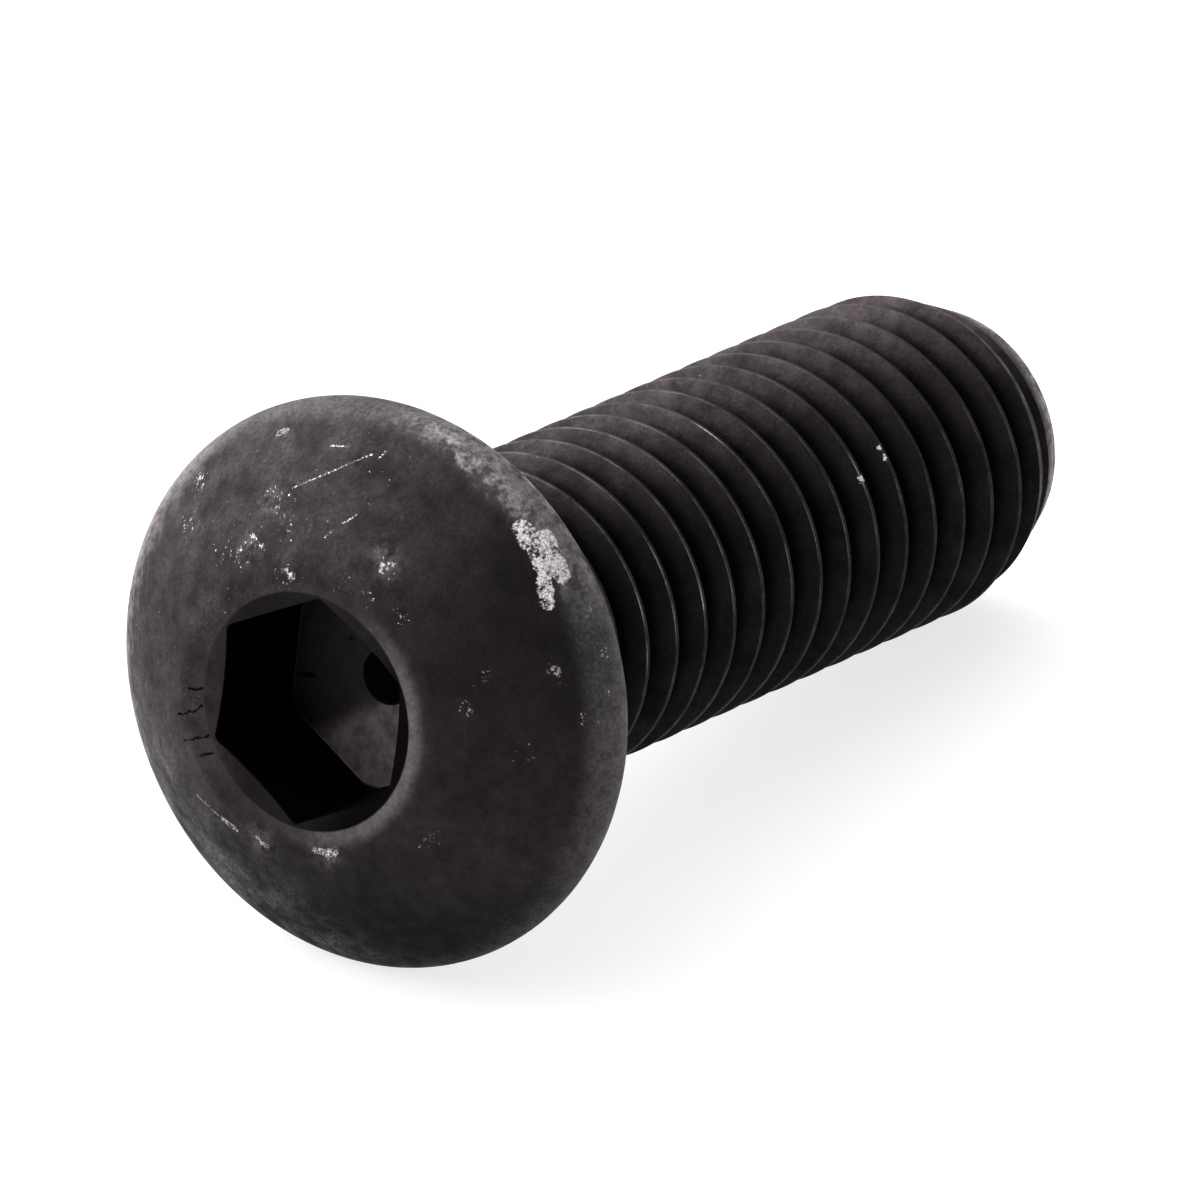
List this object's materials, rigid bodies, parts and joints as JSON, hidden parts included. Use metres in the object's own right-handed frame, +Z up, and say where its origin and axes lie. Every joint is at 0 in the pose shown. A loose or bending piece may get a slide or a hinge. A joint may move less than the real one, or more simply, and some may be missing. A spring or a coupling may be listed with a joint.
{
  "type": "button head screw",
  "caption": "Fully threaded button head screw with a hexagon socket, in black oxide steel, lying at rest; it clamps a plate against a tapped hole or a nut.",
  "frame": {"origin": "centre of the bounding box, on the surface that the screw lies on", "axes": "+Z up; +X along the length of the screw, from the head to the point, whose axis dips 7.64 degrees to the surface"},
  "size_m": [0.0446, 0.0222, 0.022],
  "materials": {
    "black_oxide_steel": "matt black oxide on alloy steel, worn brighter at the edges"
  },
  "bodies": {
    "root": {"button_head_screw": "black_oxide_steel"}
  },
  "joints": []
}
